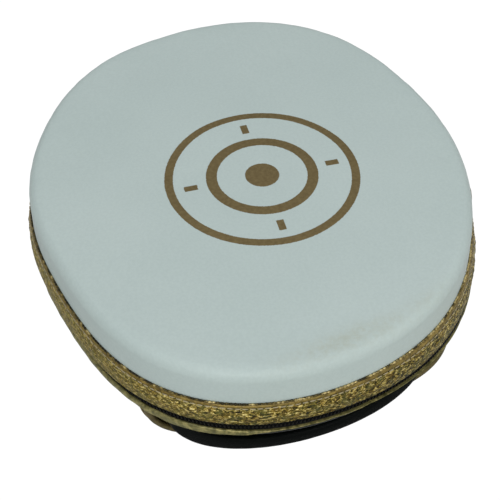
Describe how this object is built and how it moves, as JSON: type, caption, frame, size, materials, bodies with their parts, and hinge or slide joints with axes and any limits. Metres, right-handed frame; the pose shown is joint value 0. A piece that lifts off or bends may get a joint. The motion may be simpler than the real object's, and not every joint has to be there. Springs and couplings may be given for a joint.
{
  "type": "focus mitt",
  "caption": "Round padded boxing focus mitt with zipped side wall, palm ball, hand cover, wrist cuff, peel-open strap and a running zip slider.",
  "frame": {"origin": "on the rest patch of the hand cover, straight below the middle of the strike face", "axes": "+Z out of the strike face, +Y from the wrist towards the fingertips, +X to the thumb side"},
  "size_m": [0.1877, 0.218, 0.0795],
  "materials": {
    "face_leather": "smooth microfibre leather, pale grey-white, soft sheen",
    "gel_foam": "soft translucent gel sheet",
    "impact_foam": "dense closed-cell foam, matte",
    "core_foam": "open-cell foam, matte",
    "board": "thin fibreboard-like plastic",
    "gold_bead": "gold piping, metallic sheen",
    "gold_plain": "olive-gold synthetic leather, semi-gloss",
    "gold_metallic": "crinkled metallic gold synthetic leather",
    "zip_tape": "woven black tape",
    "zip_coil": "black nylon coil",
    "zip_metal": "black enamelled zinc",
    "black_mesh": "black spacer mesh",
    "black_leather": "black synthetic leather, fine grain",
    "loop_fabric": "brushed loop pile",
    "hook_fabric": "moulded hook tape"
  },
  "bodies": {
    "mitt": {"face_skin": "face_leather", "gel_pad": "gel_foam", "impact_foam": "impact_foam", "core_foam": "core_foam", "base_foam": "core_foam", "stiffener_board": "board", "seam_piping": "gold_bead", "gusset_top_binding": "gold_plain", "upper_gusset": "gold_metallic", "gusset_lap_tab": "gold_plain", "lower_gusset": "gold_plain", "zip_tape_upper": "zip_tape", "zip_tape_lower": "zip_tape", "zip_coil_upper": "zip_coil", "zip_coil_lower": "zip_coil", "zip_end_stops": "zip_metal", "zip_garage": "gold_plain", "back_panel": "black_mesh", "palm_ball_foam": "core_foam", "palm_ball_cover": "black_leather", "hand_cover": "gold_plain", "hand_cover_padding": "core_foam", "hand_cover_lining": "black_mesh", "cuff_shell": "black_leather", "cuff_padding": "core_foam", "cuff_lining": "black_mesh", "cuff_mouth_binding": "black_leather", "strap_base": "gold_plain", "strap_anchor": "gold_plain", "strap_loop_patch": "loop_fabric", "thumb_loop": "gold_plain", "thumb_loop_lining": "black_mesh"},
    "slider": {"zip_slider": "zip_metal"},
    "pull": {"zip_pull_tab": "zip_metal"},
    "strap": {"strap_flap": "gold_plain", "strap_hook_patch": "hook_fabric", "strap_grip_tab": "black_leather"}
  },
  "joints": [
    {"name": "zip_run", "type": "hinge", "parent": "mitt", "child": "slider", "pos_m": [0.026, 0.00013, 0.05235], "axis": [0, 0, 1], "range_deg": [0, 40]},
    {"name": "pull_swing", "type": "hinge", "parent": "slider", "child": "pull", "pos_m": [-0.06717, 0.07831, 0.05235], "axis": [0, 0, 1], "range_deg": [0, 165]},
    {"name": "strap_peel", "type": "hinge", "parent": "mitt", "child": "strap", "pos_m": [0.045, -0.055, 0.0064], "axis": [0, -1, 0], "range_deg": [0, 120]}
  ]
}
